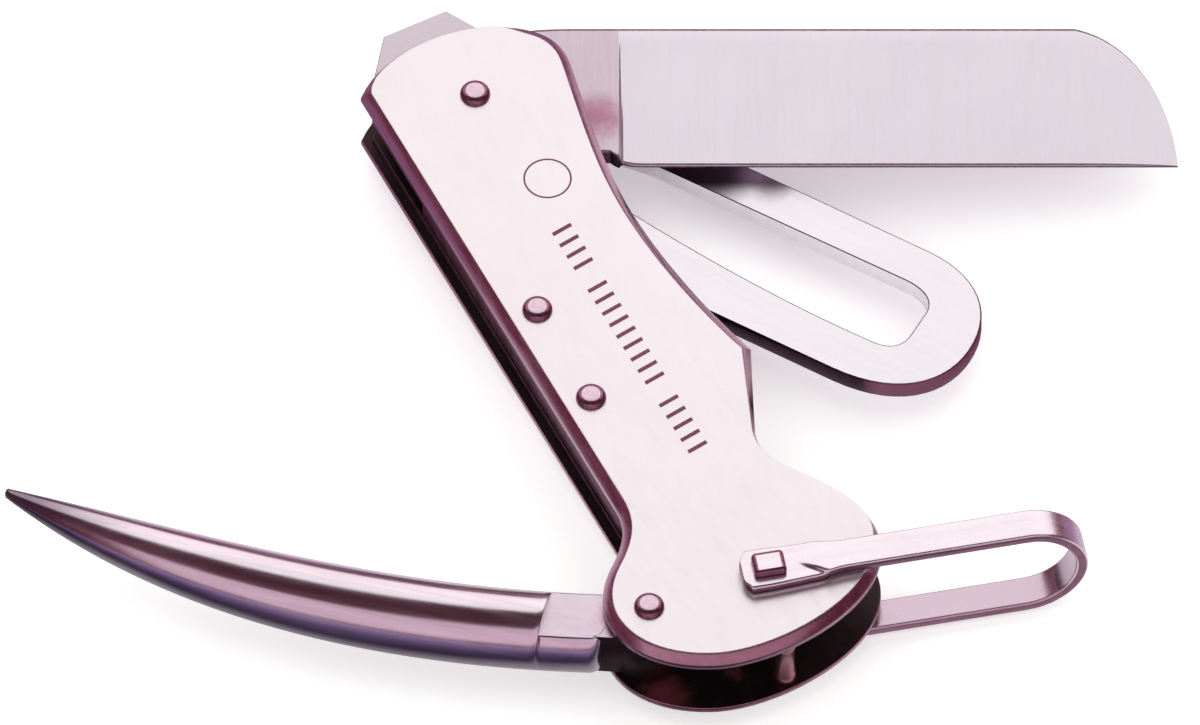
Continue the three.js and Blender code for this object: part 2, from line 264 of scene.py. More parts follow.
# ---------------------------------------------------------------- mesh builders
class Part:
    """Collects vertices and faces in millimetres and turns them into one object."""

    def __init__(self):
        self.points = []
        self.faces = []

    def add(self, points):
        """Adds points and gives the number of the first."""
        first = len(self.points)
        self.points.extend(points)
        return first

    def face(self, indices, slot=0, smooth=False):
        self.faces.append((tuple(indices), slot, smooth))

    def build(self, name, body, materials, pivot=(0.0, 0.0), angle=0.0):
        """The object, turned by angle (degrees), with its own origin at the pivot, riding on the body."""
        mesh = bpy.data.meshes.new(name)
        mesh.from_pydata([Vector(p) * MM for p in self.points], [], [f[0] for f in self.faces])
        for material in materials:
            mesh.materials.append(material)
        for polygon, (_, slot, smooth) in zip(mesh.polygons, self.faces):
            polygon.material_index = slot
            polygon.use_smooth = smooth
        bm = bmesh.new()
        bm.from_mesh(mesh)
        bmesh.ops.remove_doubles(bm, verts=bm.verts, dist=1e-7)
        bmesh.ops.recalc_face_normals(bm, faces=bm.faces)
        bm.to_mesh(mesh)
        bm.free()
        mesh.transform(Matrix.Rotation(math.radians(angle), 4, "Z"))
        obj = bpy.data.objects.new(name, mesh)
        bpy.context.scene.collection.objects.link(obj)
        obj.location = (SHIFT.x + pivot[0] * MM, SHIFT.y + pivot[1] * MM, SHIFT.z)
        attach(obj, body)
        return obj


def plate_into(part, loops, rings, slots=None, cap_slots=(0, 0), share=None):
    """Closed plate: loops[0] is the outline, the rest are holes; rings are (inset, z) upwards.

    slots gives the material of each band between rings, cap_slots those of the bottom and the top.
    """
    loops = [turned(loops[0], True)] + [turned(loop, False) for loop in loops[1:]]
    slots = slots or [0] * (len(rings) - 1)
    starts = []
    for distance, z in rings:
        row = []
        for loop in loops:
            row.append(part.add([(x, y, z) for x, y in inset(loop, distance, share)]))
        starts.append(row)
    for k in range(len(rings) - 1):
        for j, loop in enumerate(loops):
            count = len(loop)
            low, high = starts[k][j], starts[k + 1][j]
            for i in range(count):
                n = (i + 1) % count
                part.face((low + i, low + n, high + n, high + i), slots[k], True)
    for ring, slot, flip in ((0, cap_slots[0], True), (len(rings) - 1, cap_slots[1], False)):
        distance = rings[ring][0]
        polygons = [[Vector((x, y, 0)) for x, y in inset(loop, distance, share)] for loop in loops]
        index = []
        for j, loop in enumerate(loops):
            index += list(range(starts[ring][j], starts[ring][j] + len(loop)))
        for triangle in tessellate_polygon(polygons):
            corners = [index[i] for i in triangle]
            part.face(corners[::-1] if flip else corners, slot)


def plate(loops, z0, z1, edge=0.12, slots=None):
    """Plate with small rounded edges."""
    part = Part()
    turn = edge * 0.3
    rings = [(edge, z0), (turn, z0 + turn), (0, z0 + edge), (0, z1 - edge), (turn, z1 - turn), (edge, z1)]
    plate_into(part, loops, rings, slots)
    return part


def lathe_into(part, profile, segments=48):
    """Closed solid of revolution about z; profile is (radius, z) from bottom axis to top axis."""
    rows = []
    for radius, z in profile:
        if radius < 1e-6:
            rows.append([part.add([(0, 0, z)])] * segments)
            continue
        first = part.add([(x, y, z) for x, y in circle(0, 0, radius, segments)])
        rows.append(list(range(first, first + segments)))
    join_rings(part, rows)


def join_rings(part, rows, look=None):
    """Faces between neighbouring rings of vertices; look(k, i) gives a face's slot and smoothing."""
    count = len(rows[0])
    for k in range(len(rows) - 1):
        for i in range(count):
            n = (i + 1) % count
            corners = list(dict.fromkeys((rows[k][i], rows[k][n], rows[k + 1][n], rows[k + 1][i])))
            if len(corners) > 2:
                part.face(corners, *(look(k, i) if look else (0, True)))


def join_sheets(part, top, bottom, rows, face_slot, smooth_edge):
    """Closes a solid between two sheets of points, each a list of lines with rows + 1 points."""
    for i in range(len(top) - 1):
        for j in range(rows):
            a, b = top[i] + j, top[i + 1] + j
            part.face((a, b, b + 1, a + 1), face_slot(i), True)
            a, b = bottom[i] + j, bottom[i + 1] + j
            part.face((a, a + 1, b + 1, b), face_slot(i), True)
        part.face((top[i], bottom[i], bottom[i + 1], top[i + 1]), 1, smooth_edge)
        part.face((top[i] + rows, top[i + 1] + rows, bottom[i + 1] + rows, bottom[i] + rows), 1,
                  smooth_edge)
    for i in (0, len(top) - 1):
        for j in range(rows):
            part.face((top[i] + j, top[i] + j + 1, bottom[i] + j + 1, bottom[i] + j), 1, False)


# ---------------------------------------------------------------- materials
# Where a colour mix node keeps its colour sockets: the two inputs and the output.
MIX_BASE, MIX_OVER, MIX_OUT = 6, 7, 2
EVEN = (1, 1, 1)


def node_group(material):
    material.use_nodes = True
    nodes = material.node_tree.nodes
    links = material.node_tree.links
    return nodes, links, nodes["Principled BSDF"]


def ramp(nodes, links, source, low, high, dark, light):
    node = nodes.new("ShaderNodeValToRGB")
    node.color_ramp.elements[0].position = low
    node.color_ramp.elements[1].position = high
    node.color_ramp.elements[0].color = (*dark, 1)
    node.color_ramp.elements[1].color = (*light, 1)
    links.new(source, node.inputs["Fac"])
    return node.outputs["Color"]


def noise(nodes, links, coordinates, scale, size, detail=4.0, rough=0.6):
    mapping = nodes.new("ShaderNodeMapping")
    mapping.inputs["Scale"].default_value = scale
    links.new(coordinates, mapping.inputs["Vector"])
    node = nodes.new("ShaderNodeTexNoise")
    node.inputs["Scale"].default_value = size
    node.inputs["Detail"].default_value = detail
    node.inputs["Roughness"].default_value = rough
    links.new(mapping.outputs["Vector"], node.inputs["Vector"])
    return node.outputs["Fac"]


def own_axes(material):
    """Texture coordinates along the axes that the piece had before it was turned to its open position."""
    nodes, links = material.node_tree.nodes, material.node_tree.links
    turn = nodes.new("ShaderNodeVectorRotate")
    turn.rotation_type = "Z_AXIS"
    turn.inputs["Angle"].default_value = -math.radians(TURN.get(material.name.split("_")[0], 0.0))
    links.new(nodes.new("ShaderNodeTexCoord").outputs["Object"], turn.inputs["Vector"])
    return turn.outputs["Vector"]


def feed(links, socket, value):
    """Links an input to an output, or gives it a constant."""
    if isinstance(value, bpy.types.NodeSocket):
        links.new(value, socket)
    else:
        socket.default_value = value


def colour_mix(nodes, links, amount, base, over):
    """Mixes colour over into colour base; each of the three is an output or a constant."""
    mix = nodes.new("ShaderNodeMix")
    mix.data_type = "RGBA"
    feed(links, mix.inputs["Factor"], amount)
    feed(links, mix.inputs[MIX_BASE], base)
    feed(links, mix.inputs[MIX_OVER], over)
    return mix.outputs[MIX_OUT]


def steel(name, dark, light, roughness, streak, streak_size, bump, metallic=1.0, spread=0.08):
    """Steel with streaks along one direction, cloudy handling marks and fine surface bump."""
    material = bpy.data.materials.new(name)
    nodes, links, shader = node_group(material)
    coordinates = own_axes(material)
    streaks = noise(nodes, links, coordinates, streak, streak_size, 5.0, 0.65)
    clouds = noise(nodes, links, coordinates, EVEN, 70.0, 3.0, 0.55)
    fine = ramp(nodes, links, streaks, 0.32, 0.68, dark, light)
    middle = tuple((a + b) / 2 for a, b in zip(dark, light))
    cloudy = ramp(nodes, links, clouds, 0.3, 0.7, middle, light)
    links.new(colour_mix(nodes, links, 0.4, fine, cloudy), shader.inputs["Base Color"])
    spread_node = nodes.new("ShaderNodeMapRange")
    spread_node.inputs["From Min"].default_value = 0.25
    spread_node.inputs["From Max"].default_value = 0.75
    spread_node.inputs["To Min"].default_value = roughness - spread
    spread_node.inputs["To Max"].default_value = roughness + spread
    links.new(streaks, spread_node.inputs["Value"])
    links.new(spread_node.outputs["Result"], shader.inputs["Roughness"])
    bump_node = nodes.new("ShaderNodeBump")
    bump_node.inputs["Strength"].default_value = bump
    bump_node.inputs["Distance"].default_value = 0.05 * MM
    links.new(streaks, bump_node.inputs["Height"])
    links.new(bump_node.outputs["Normal"], shader.inputs["Normal"])
    shader.inputs["Metallic"].default_value = metallic
    return material


def paint_over(material, amount, colour):
    """Lays a colour over a steel's base colour, as strongly as the amount socket says."""
    nodes, links = material.node_tree.nodes, material.node_tree.links
    base = nodes["Principled BSDF"].inputs["Base Color"]
    mixed = colour_mix(nodes, links, amount, base.links[0].from_socket, (*colour, 1))
    links.new(mixed, base)


def shade(material, axis, start, end, colour, strength, wobble):
    """Paints shade or light into a steel gradually along one of the piece's own axes, from start to end
    (mm).
    """
    nodes, links = material.node_tree.nodes, material.node_tree.links
    coordinates = own_axes(material)
    split = nodes.new("ShaderNodeSeparateXYZ")
    links.new(coordinates, split.inputs["Vector"])
    add = nodes.new("ShaderNodeMath")
    add.operation = "MULTIPLY_ADD"
    add.inputs[1].default_value = wobble * MM
    links.new(noise(nodes, links, coordinates, EVEN, 260.0), add.inputs[0])
    links.new(split.outputs[axis], add.inputs[2])
    spread = nodes.new("ShaderNodeMapRange")
    spread.interpolation_type = "SMOOTHSTEP"
    spread.inputs["From Min"].default_value = start * MM
    spread.inputs["From Max"].default_value = end * MM
    spread.inputs["To Max"].default_value = strength
    links.new(add.outputs["Value"], spread.inputs["Value"])
    paint_over(material, spread.outputs["Result"], colour)


def round_tint(material, centre, inner, outer, colour, strength, cloud=4.0):
    """A cloudy tint round one point of a piece, given in the piece's own millimetres; below it mostly
    paints reflections and shade.
    """
    nodes, links = material.node_tree.nodes, material.node_tree.links
    coordinates = own_axes(material)
    away = nodes.new("ShaderNodeVectorMath")
    away.operation = "DISTANCE"
    away.inputs[1].default_value = [c * MM for c in centre]
    links.new(coordinates, away.inputs[0])
    wobble = nodes.new("ShaderNodeMath")
    wobble.operation = "MULTIPLY_ADD"
    wobble.inputs[1].default_value = cloud * MM
    links.new(noise(nodes, links, coordinates, EVEN, 500.0), wobble.inputs[0])
    links.new(away.outputs["Value"], wobble.inputs[2])
    fade = nodes.new("ShaderNodeMapRange")
    fade.interpolation_type = "SMOOTHSTEP"
    fade.inputs["From Min"].default_value = (outer + cloud / 2) * MM
    fade.inputs["From Max"].default_value = (inner + cloud / 2) * MM
    fade.inputs["To Max"].default_value = strength
    links.new(wobble.outputs["Value"], fade.inputs["Value"])
    paint_over(material, fade.outputs["Result"], colour)


SCALE_FACE = steel("scale_face", (0.80, 0.775, 0.785), (0.92, 0.90, 0.905), 0.36, (1, 0.3, 1), 800, 0.03)
# The scale's bevel and side walls are painted dark maroon: a painted reflection of dark surroundings on
# the rounded rim.
SCALE_BEVEL = steel("scale_bevel", (0.44, 0.25, 0.32), (0.70, 0.47, 0.55), 0.24, (1, 0.2, 1), 900, 0.05)
# Painted shade: the bevel is painted darker still towards the foot.
shade(SCALE_BEVEL, "Y", -84, -97, (0.30, 0.13, 0.18), 0.6, 4.0)
LINER_FACE = steel("liner_face", (0.53, 0.47, 0.52), (0.66, 0.60, 0.65), 0.34, (0.1, 1, 1), 1200, 0.05)
# The liners' and springs' edges are painted near-black: painted shade between the plates.
LINER_EDGE = steel("liner_edge", (0.10, 0.04, 0.06), (0.24, 0.11, 0.16), 0.4, (1, 1, 0.2), 900, 0.06)
# Near-black steel for the scales' inner faces, inner liners, springs, washers and the spike's eye plate
# sides: painted shade inside the handle.
INNER_SHADE = steel("inner_steel", (0.022, 0.017, 0.018), (0.075, 0.05, 0.052), 0.5, (1, 0.6, 1), 300, 0.06)
# Painted warm reflections inside the foot.
round_tint(INNER_SHADE, (-18.5, -93.2, 1.9), 1.0, 4.5, (0.60, 0.16, 0.20), 0.9)
round_tint(INNER_SHADE, (-8.4, -94.0, 1.9), 0.2, 1.8, (0.50, 0.14, 0.17), 0.6)
BLADE_FACE = steel("blade_face", (0.665, 0.63, 0.685), (0.79, 0.78, 0.82), 0.34, (1, 0.04, 0.04), 1500,
                   0.08)
# The blade's edge faces are painted dark: painted shade.
BLADE_EDGE = steel("blade_edge", (0.10, 0.06, 0.08), (0.26, 0.19, 0.24), 0.3, (1, 0.1, 1), 1500, 0.04)
RICASSO = steel("blade_ricasso", (0.50, 0.43, 0.48), (0.69, 0.61, 0.67), 0.36, (1, 0.08, 1), 1300, 0.05)
# A cloudy dark red tint on the ricasso, next to the scale's edge.
round_tint(RICASSO, (16.6, -1.5, 9.95), 0.5, 5.5, (0.36, 0.10, 0.19), 0.75)
KEY_FACE = steel("key_face", (0.80, 0.80, 0.83), (0.93, 0.94, 0.95), 0.38, (0.08, 1, 1), 1200, 0.05)
# The key's edges are painted near-black, painted shade on the walls; the shade below paints them lighter
# maroon at the far end, a painted reflection.
KEY_EDGE = steel("key_edge", (0.016, 0.008, 0.014), (0.06, 0.03, 0.05), 0.36, (1, 1, 0.2), 800, 0.06)
shade(KEY_EDGE, "X", 67.5, 71, (0.34, 0.15, 0.21), 0.8, 3.0)
# Painted dark reflection of the blade in the key's upper limb.
round_tint(KEY_FACE, (30.0, 9.5, 9.6), 5.0, 10.0, (0.07, 0.05, 0.06), 0.94, 0.6)
round_tint(KEY_FACE, (40.0, 11.2, 9.6), 2.5, 5.0, (0.09, 0.05, 0.07), 0.9, 0.6)
KEY_SLOT = steel("key_slot_wall", (0.84, 0.82, 0.84), (0.93, 0.915, 0.93), 0.55, (1, 1, 0.3), 700, 0.05,
                 metallic=0.1)
SPIKE_STEEL = steel("spike_steel", (0.60, 0.52, 0.58), (0.88, 0.82, 0.87), 0.2, (0.04, 1, 1), 700, 0.04,
                    spread=0.06)
# Painted shade: the spike is painted darker towards its tip.
shade(SPIKE_STEEL, "X", 70, 90, (0.13, 0.09, 0.14), 0.8, 4.0)
SPIKE_FLAT = steel("spike_flat", (0.56, 0.47, 0.54), (0.80, 0.73, 0.78), 0.34, (0.3, 1, 1), 500, 0.05)
# Painted shadow of the handle on the spike's flat near its pivot.
round_tint(SPIKE_FLAT, (4.0, 1.5, 10.6), 1.0, 4.0, (0.48, 0.22, 0.33), 0.6)
BAIL_FACE = steel("bail_face", (0.74, 0.67, 0.72), (0.93, 0.89, 0.92), 0.26, (0.08, 1, 1), 900, 0.05)
# Painted shade: the bail is painted darker towards its rear arm.
shade(BAIL_FACE, "Z", 10, 1, (0.56, 0.42, 0.50), 0.75, 2.0)
# The bail's edges are painted dark maroon: painted shade.
BAIL_EDGE = steel("bail_edge", (0.14, 0.055, 0.085), (0.34, 0.18, 0.25), 0.32, (0.3, 1, 1), 900, 0.05)
# The steel spacer pin is painted red: a painted warm reflection.
PIN_STEEL = steel("pin_steel", (0.34, 0.13, 0.15), (0.60, 0.29, 0.32), 0.3, (1, 1, 0.2), 900, 0.05)
# Rivet heads are lit and shaded copies of one steel: a lighter crown, a painted highlight, and a dark
# maroon rim, painted shade, also on the bail rivets' edges.
RIVET = steel("rivet_steel", (0.52, 0.38, 0.46), (0.78, 0.64, 0.71), 0.24, EVEN, 1500, 0.05)
RIVET_RIM = steel("rivet_rim", (0.16, 0.05, 0.09), (0.40, 0.20, 0.27), 0.3, EVEN, 1500, 0.05)
ETCH = steel("etched_marks", (0.10, 0.02, 0.05), (0.24, 0.07, 0.12), 0.6, EVEN, 2500, 0.1,
             metallic=0.3)


# ---------------------------------------------------------------- handle pieces
def bevel_share(x, y):
    """The scale's bevel runs out to a fine edge round the pivot end and down the foot's open side."""
    # Each product of rises is 1 inside its region and fades to 0 at that region's borders.
    pivot_end = rise(-13.7, -11.5, x) * rise(-12, -8, -x) * rise(3, 6, y)
    foot_side = rise(0, 6, x) * rise(-93, -86, y) * rise(53.5, 56, -y)
    return 1 - max(0.5 * pivot_end, 0.7 * foot_side)


# A scale's rim, as inset and depth below its outer face, and as inset and height above its inner face.
SCALE_BEVEL_RINGS = ((1.45, 0.0), (1.3, 0.05), (1.15, 0.17), (0.05, 1.07), (0.0, 1.2))
SCALE_INNER_RINGS = ((0.0, 0.08), (0.1, 0.0))


def scale_piece(name, front):
    z0, z1 = LAYER[name]
    part = Part()
    if front:
        rings = [(cut, z0 + h) for cut, h in SCALE_INNER_RINGS[::-1]]
        rings += [(cut, z1 - d) for cut, d in SCALE_BEVEL_RINGS[::-1]]
        plate_into(part, [scale_outline()], rings, [1, 1, 1, 1, 1, 0], (2, 0), bevel_share)
    else:
        rings = [(cut, z0 + d) for cut, d in SCALE_BEVEL_RINGS]
        rings += [(cut, z1 - h) for cut, h in SCALE_INNER_RINGS]
        plate_into(part, [scale_outline()], rings, [0, 1, 1, 1, 1, 1], (0, 2), bevel_share)
    obj = part.build(name + "_piece", "handle", [SCALE_FACE, SCALE_BEVEL, INNER_SHADE])
    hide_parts(name)


def liner_piece(name, outline, face):
    z0, z1 = LAYER[name]
    part = plate([outline], z0, z1, 0.08, [1] * 5)
    obj = part.build(name + "_piece", "handle", [face, LINER_EDGE])
    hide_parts(name)


def spring_piece(name, layer):
    part = plate([spring_outline()], *LAYER[layer], slots=[1] * 5)
    obj = part.build(name + "_piece", "handle", [INNER_SHADE, LINER_EDGE])
    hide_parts(name)


def dome(radius, height, steps=10):
    """Half profile of a peened head from rim to crown: steep shoulder, small flat crown."""
    profile = [(radius, 0.0), (radius, height * 0.12)]
    for i in range(1, steps + 1):
        a = i / steps * math.pi / 2
        profile.append((radius * (0.42 + 0.58 * math.cos(a) ** 0.9), height * (0.12 + 0.88 * math.sin(a))))
    return profile + [(radius * 0.2, height), (0.0, height)]


HEAD_RADIUS, HEAD_HEIGHT, HEAD_GAP = 2.05, 0.9, 0.05
CROWN_RADIUS = 1.25


def domed_rivet(name, node, centre, shank):
    """Rivet through the whole handle; its heads are painted darker outside the crown's radius, painted
    shade on the shoulder.
    """
    part = Part()
    low, high = -HEAD_GAP, LAYER["front_scale"][1] + HEAD_GAP
    shape = dome(HEAD_RADIUS, HEAD_HEIGHT)
    profile = [(r, low - h) for r, h in shape[::-1]] + [(shank, low), (shank, high)]
    profile += [(r, high + h) for r, h in shape]
    lathe_into(part, profile)
    for index, (corners, _, smooth) in enumerate(part.faces):
        middle = sum(math.hypot(*part.points[i][:2]) for i in corners) / len(corners)
        if middle > CROWN_RADIUS:
            part.faces[index] = (corners, 1, smooth)
    obj = part.build(name, "handle", [RIVET, RIVET_RIM], centre)
    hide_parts(node)


BAIL_HEAD_HEIGHT = 1.2
BAIL_SHANK_END = {1: 11.35, -1: 1.85}
# The head's edges, as inset and distance from its top, and as inset and distance from its seat.
BAIL_HEAD_RINGS = ((0.6, 0.0), (0.4, 0.03), (0.12, 0.2), (0.0, 0.5))
BAIL_SEAT_RINGS = ((0.0, 0.15), (0.1, 0.0))


def bail_rivet(name, node, sign):
    """Square-headed rivet of one bail arm, with its shank into the scale; sign is +1 in front."""
    part = Part()
    seat = MIDDLE + sign * (BAIL_OUTER + HEAD_GAP)
    top = seat + sign * BAIL_HEAD_HEIGHT
    rings = [(cut, top - sign * d) for cut, d in BAIL_HEAD_RINGS]
    rings += [(cut, seat + sign * d) for cut, d in BAIL_SEAT_RINGS]
    if sign > 0:
        rings.reverse()
    plate_into(part, [rounded_box(2.2, 1.8, 0.6)], rings, [1] * 5)
    low, high = sorted((BAIL_SHANK_END[sign], seat))
    lathe_into(part, [(0, low), (PIVOT_SHANK, low), (PIVOT_SHANK, high), (0, high)], 32)
    obj = part.build(name, "handle", [BAIL_FACE, RIVET_RIM], BAIL_PIVOT, BAIL_ANGLE)
    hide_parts(node)


def washer(name, node, z0, z1):
    part = plate([circle(0, 0, 4.6, 64), circle(0, 0, 1.47, 32)], z0, z1, 0.06)
    obj = part.build(name, "handle", [INNER_SHADE], SPIKE_PIVOT)
    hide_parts(node)


def foot_spacer():
    """Pin between the scales, a little thicker at both ends; a half profile is (radius, from its end)."""
    part = Part()
    z0, z1 = LAYER["rear_liner"][0], LAYER["front_liner"][1]
    half = [(0, 0), (1.5, 0), (1.6, 0.1), (1.6, 1.6), (1.4, 1.9)]
    profile = [(r, z0 + d) for r, d in half] + [(r, z1 - d) for r, d in half[::-1]]
    lathe_into(part, profile, 40)
    obj = part.build("foot_spacer_pin", "handle", [PIN_STEEL], FOOT_SPACER)
    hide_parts("foot_spacer")


def etched_marks():
    """A plain row of slanted bars down the scale, in three groups, and a plain ring above it."""
    part = Part()
    top = LAYER["front_scale"][1]
    rings = [(0.0, top - 0.02), (0.0, top + 0.015), (0.03, top + 0.02)]
    first_bar, pitch, count, gaps = -25.4, 2.12, 20, (4, 14)
    for i in range(count):
        if i in gaps:
            continue
        y = first_bar - i * pitch
        bar = [(-1.2, y - 0.55), (1.8, y - 0.15), (1.8, y + 0.45), (-1.2, y + 0.05)]
        plate_into(part, [bar], rings)
    ring = (2.4, -17.0)
    plate_into(part, [circle(*ring, 3.3, 60), circle(*ring, 3.05, 60)], rings)
    obj = part.build("etched_marks_piece", "handle", [ETCH])


# ---------------------------------------------------------------- blade
TANG_RADIUS, TANG_END, HEEL, RICASSO_END, GROUND_FROM = 7.5, 14.0, 18.4, 19.5, 20.2
BLADE_TIP, SPINE_END = 95.5, 81.6
SPINE, EDGE_LINE = 13.2, -8.9
BLADE_HALF, EDGE_HALF = 1.3, 0.14


def blade_lower(u):
    """Lower outline: round tang, ricasso, a short run down past the heel, then the straight edge."""
    if u < 0:
        return -math.sqrt(max(0.0, TANG_RADIUS ** 2 - u * u))
    if u < HEEL:
        return -TANG_RADIUS + 0.1 * u / HEEL
    t = min(1.0, (u - HEEL) / 5.0)
    return EDGE_LINE + 1.5 * (1 - t) ** 3


def blade_upper(u, curve):
    """Upper outline: rounded tang, straight spine, then the curve that drops to the tip."""
    if u < TANG_END:
        t = max(0.0, (u + TANG_RADIUS) / (TANG_END + TANG_RADIUS))
        return SPINE * math.sqrt(max(0.0, 1 - (1 - t) ** 2.6))
    if u <= curve[-1][0]:
        return SPINE
    for (x1, y1), (x0, y0) in zip(curve, curve[1:]):
        if x0 <= u <= x1:
            return y0 + (y1 - y0) * (u - x0) / max(1e-6, x1 - x0)
    return curve[0][1]


def blade_half(u, v):
    """Half thickness of the blade at a point: full at the tang and spine, thin at the edge."""
    ground = clamp(EDGE_HALF + (BLADE_HALF - EDGE_HALF) * (v + 9.2) / 21.0, EDGE_HALF, BLADE_HALF)
    groove = 0.17 * math.exp(-((u - RICASSO_END - 0.3) / 0.17) ** 2) * clamp((12.2 - v) / 2.5)
    return BLADE_HALF + (ground - BLADE_HALF) * rise(RICASSO_END, GROUND_FROM, u) - groove


def blade_piece():
    curve = trace((BLADE_TIP, EDGE_LINE), (94.9, 0.1, 90.3, 11, SPINE_END, SPINE), steps=60)
    stations = [0.0005 - TANG_RADIUS + (TANG_END + TANG_RADIUS) * (i / 24) ** 1.5 for i in range(24)]
    for start, end, steps in ((TANG_END, HEEL, 6), (HEEL, RICASSO_END, 10), (RICASSO_END, GROUND_FROM, 10),
                              (GROUND_FROM, 24, 14), (24, SPINE_END, 40)):
        stations += [start + (end - start) * i / steps for i in range(steps)]
    stations += [x for x, _ in curve[::-1]]
    rows = 40
    middle = (LAYER["blade"][0] + LAYER["blade"][1]) / 2
    part = Part()
    top, bottom = [], []
    for u in stations:
        low, high = blade_lower(u), blade_upper(u, curve)
        high = max(high, low + 0.02)
        points = []
        for j in range(rows + 1):
            v = low + (high - low) * j / rows
            points.append((u, v, blade_half(u, v)))
        top.append(part.add([(x, y, middle + h) for x, y, h in points]))
        bottom.append(part.add([(x, y, middle - h) for x, y, h in points]))

    def face_slot(i):
        return 2 if stations[i + 1] <= RICASSO_END + 0.01 else 0

    join_sheets(part, top, bottom, rows, face_slot, False)
    obj = part.build("blade_piece", "blade", [BLADE_FACE, BLADE_EDGE, RICASSO], (0, 0), BLADE_ANGLE)
    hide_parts("blade")


# ---------------------------------------------------------------- key, spike, bail
def key_piece():
    """The key; the walls of its slot, after the outline's walls in each band, have their own material."""
    part = Part()
    z0, z1 = LAYER["key"]
    round_off, turn = 0.22, 0.07
    rings = [(round_off, z0), (turn, z0 + turn), (0, z0 + round_off),
             (0, z1 - round_off), (turn, z1 - turn), (round_off, z1)]
    plate_into(part, [key_outline(), key_slot()], rings, [1] * 5)
    outer = len(key_outline())
    count = outer + len(key_slot())
    slot_walls = (1, 2, 3)
    for band in slot_walls:
        for index in range(band * count + outer, (band + 1) * count):
            corners, _, smooth = part.faces[index]
            part.faces[index] = (corners, 2, smooth)
    obj = part.build("shackle_key_piece", "key", [KEY_FACE, KEY_EDGE, KEY_SLOT], (0, 0), KEY_ANGLE)
    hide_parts("shackle_key")


SPIKE_REACH, SPIKE_RADIUS, SPIKE_SAG, SPIKE_TIP = 90.0, 5.4, 6.0, 0.6
SPIKE_ROOT, SPIKE_SHOULDER, SPIKE_HALF = 5.3, 13.7, 4.05


def spike_sag(x):
    """How far the spike's axis bows out at x."""
    t = clamp(x / SPIKE_REACH)
    return 4 * SPIKE_SAG * t * (1 - t)


def spike_radius(x):
    t = clamp((x - SPIKE_SHOULDER) / (SPIKE_REACH - SPIKE_SHOULDER))
    return SPIKE_TIP + (SPIKE_RADIUS - SPIKE_TIP) * (1 - t ** 3.5)


def spike_piece():
    """Round spike with a tang milled flat on both sides and a round eye plate about its pivot.

    Each section is its place along the spike, its radius, and whether it is milled.
    """
    corner = math.degrees(math.asin(SPIKE_HALF / SPIKE_RADIUS))
    side, flat = 20, 18
    angles = []
    for start, end, steps in ((-corner, corner, side), (corner, 180 - corner, flat),
                              (180 - corner, 180 + corner, side), (180 + corner, 360 - corner, flat)):
        angles += [start + (end - start) * i / steps for i in range(steps)]
    long, deep, steps = 1.5, 1.2, 8
    start = SPIKE_ROOT + long
    sections = [(SPIKE_ROOT, 0.0, True), (SPIKE_ROOT, SPIKE_RADIUS - deep, True)]
    for i in range(1, steps + 1):
        a = i / steps * math.pi / 2
        radius = SPIKE_RADIUS - deep + deep * math.sin(a)
        sections.append((SPIKE_ROOT + long * (1 - math.cos(a)), radius, True))
    for i in range(1, steps + 1):
        sections.append((start + (SPIKE_SHOULDER - start) * i / steps, SPIKE_RADIUS, True))
    steps = 89
    sections.append((SPIKE_SHOULDER + 0.02, SPIKE_RADIUS - 0.12, False))
    sections.append((SPIKE_SHOULDER + 0.12, SPIKE_RADIUS, False))
    for i in range(1, steps + 1):
        x = SPIKE_SHOULDER + (SPIKE_REACH - 0.3 - SPIKE_SHOULDER) * i / steps
        sections.append((x, spike_radius(x), False))
    sections += [(SPIKE_REACH - 0.1, SPIKE_TIP * 0.7, False), (SPIKE_REACH, 0.0, False)]
    part = Part()
    count = len(angles)
    rows = []
    for x, radius, milled in sections:
        y0 = spike_sag(x)
        if not radius:
            rows.append([part.add([(x, y0, MIDDLE)])] * count)
            continue
        points = []
        for a in angles:
            y = radius * math.cos(math.radians(a))
            z = radius * math.sin(math.radians(a))
            if milled:
                z = clamp(z, -SPIKE_HALF, SPIKE_HALF)
            points.append((x, y0 + y, MIDDLE + z))
        first = part.add(points)
        rows.append(list(range(first, first + count)))

    def look(k, i):
        milled, after = sections[k][2], sections[k + 1][2]
        on_flat = after and i % (side + flat) >= side
        return (1 if on_flat else 0), not (on_flat or (milled and not after))

    join_rings(part, rows, look)
    eye_end, eye_half = 8.5, 3.4
    middle = spike_sag(eye_end)
    outline = arc(0, 0, 5, 60, 300, 40) + [(eye_end, middle - eye_half), (eye_end, middle + eye_half)]
    z0, z1 = MIDDLE - SPIKE_HALF + 0.04, MIDDLE + SPIKE_HALF - 0.04
    plate_into(part, [outline], [(0.15, z0), (0, z0 + 0.15), (0, z1 - 0.15), (0.15, z1)], [2] * 3, (1, 1))
    obj = part.build("marlinspike_piece", "spike", [SPIKE_STEEL, SPIKE_FLAT, INNER_SHADE], SPIKE_PIVOT,
                     SPIKE_ANGLE)
    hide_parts("marlinspike")


BOSS_BACK, BOSS_END, BOSS_HALF, NECK_HALF = -3.8, 5.5, 3.2, 2.85
ARM_LIFT = 0.4


def bail_half_width(r):
    """Half the strip's width: rounded behind the pivot, wide at the boss, narrowing to the arm."""
    if r < BOSS_BACK + 1:
        return 1.4 + 1.5 * math.sqrt(max(0.0, r - BOSS_BACK))
    if r < BOSS_END:
        return BOSS_HALF - (BOSS_HALF - NECK_HALF) * max(0.0, r / BOSS_END)
    return NECK_HALF - (NECK_HALF - BAIL_HALF_WIDTH) * rise(BOSS_END, BOSS_END + 5, r)


def joggle(r, y):
    """The arms rise off the boss: softly along the upper side, in a slanted crease below."""
    across = (r - 4.4) * 0.53 + (y + 0.5) * 0.85
    return ARM_LIFT * rise(3.2, 7.2, r) * rise(-0.25, 0.25, across)


